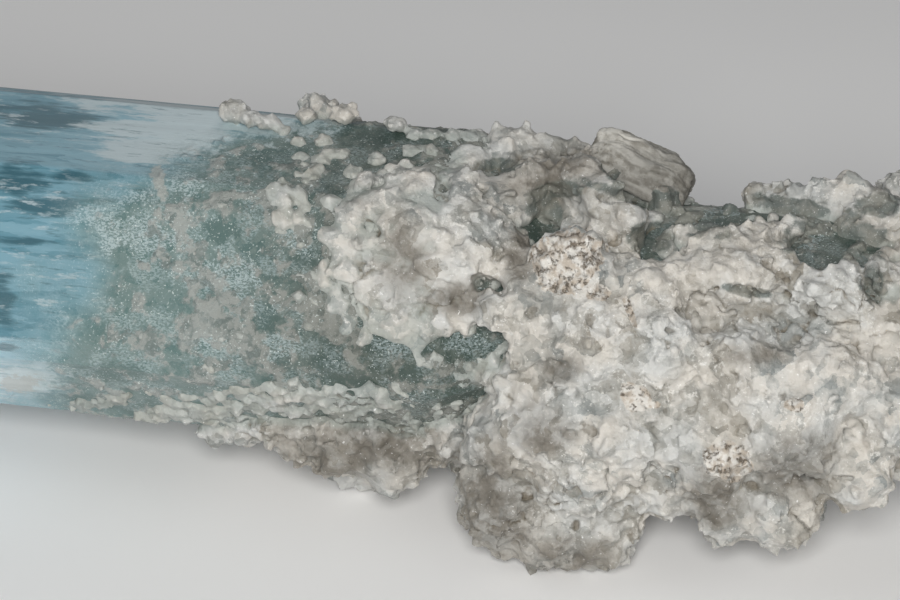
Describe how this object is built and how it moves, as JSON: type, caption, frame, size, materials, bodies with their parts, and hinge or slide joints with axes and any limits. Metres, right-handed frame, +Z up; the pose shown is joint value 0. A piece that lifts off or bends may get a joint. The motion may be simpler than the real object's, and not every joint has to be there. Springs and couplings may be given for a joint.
{
  "type": "aquamarine crystal",
  "caption": "Stout six-sided blue-green crystal lying on its side, its far half wrapped in a lumpy white mineral crust that it rests on",
  "frame": {"origin": "centre of the bounding box in X and Y, at the height of the surface that the specimen rests on", "axes": "+X along the crystal from its free tip towards the end in the crust, +Y to the back, +Z up"},
  "size_m": [0.1235, 0.0407, 0.0395],
  "materials": {
    "aquamarine": "clear to frosted natural crystal faces",
    "white_crust": "rough, granular, slightly translucent",
    "tan_feldspar": "rough, dull"
  },
  "bodies": {
    "root": {"aquamarine_crystal": "aquamarine", "white_crust": "white_crust", "tan_feldspar": "tan_feldspar"}
  },
  "joints": []
}
